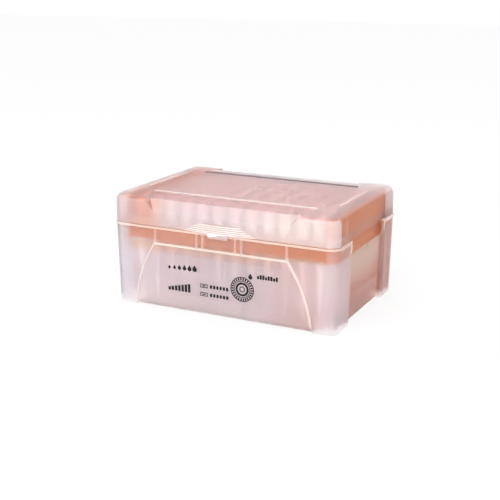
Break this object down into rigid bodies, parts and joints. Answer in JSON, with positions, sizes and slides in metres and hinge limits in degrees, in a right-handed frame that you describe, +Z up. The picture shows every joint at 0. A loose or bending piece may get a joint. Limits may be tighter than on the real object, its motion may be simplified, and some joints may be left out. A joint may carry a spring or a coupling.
{
  "type": "pipette tip box",
  "caption": "Hinged translucent box that holds a rack of pipette tips upright, with a snap lid, a thumb grip and corner feet.",
  "frame": {"origin": "centre of the overall box at the plane of the feet", "axes": "+X along the length, +Y from the latch at the front to the hinges at the back, +Z up"},
  "size_m": [0.1238, 0.0926, 0.0579],
  "materials": {
    "frosted_base": "moulded milky polypropylene",
    "frosted_lid": "moulded milky polypropylene, glossy outside",
    "orange_rack": "moulded orange polypropylene",
    "clear_tip": "natural polypropylene"
  },
  "bodies": {
    "base": {"base_box": "frosted_base", "tip_rack": "orange_rack", "tip_A1": "clear_tip", "tip_A2": "clear_tip", "tip_A3": "clear_tip", "tip_A4": "clear_tip", "tip_A5": "clear_tip", "tip_A6": "clear_tip", "tip_A7": "clear_tip", "tip_A8": "clear_tip", "tip_A9": "clear_tip", "tip_A10": "clear_tip", "tip_A11": "clear_tip", "tip_A12": "clear_tip", "tip_B1": "clear_tip", "tip_B12": "clear_tip", "tip_C1": "clear_tip", "tip_C12": "clear_tip", "tip_D1": "clear_tip", "tip_D12": "clear_tip", "tip_E1": "clear_tip", "tip_E12": "clear_tip", "tip_F1": "clear_tip", "tip_F12": "clear_tip", "tip_G1": "clear_tip", "tip_G12": "clear_tip", "tip_H1": "clear_tip", "tip_H2": "clear_tip", "tip_H3": "clear_tip", "tip_H4": "clear_tip", "tip_H5": "clear_tip", "tip_H6": "clear_tip", "tip_H7": "clear_tip", "tip_H8": "clear_tip", "tip_H9": "clear_tip", "tip_H10": "clear_tip", "tip_H11": "clear_tip", "tip_H12": "clear_tip"},
    "lid": {"lid": "frosted_lid"}
  },
  "joints": [
    {"name": "lid_hinge", "type": "hinge", "parent": "base", "child": "lid", "pos_m": [0, 0.04345, 0.0417], "axis": [-1, 0, 0], "range_deg": [0, 105]}
  ]
}
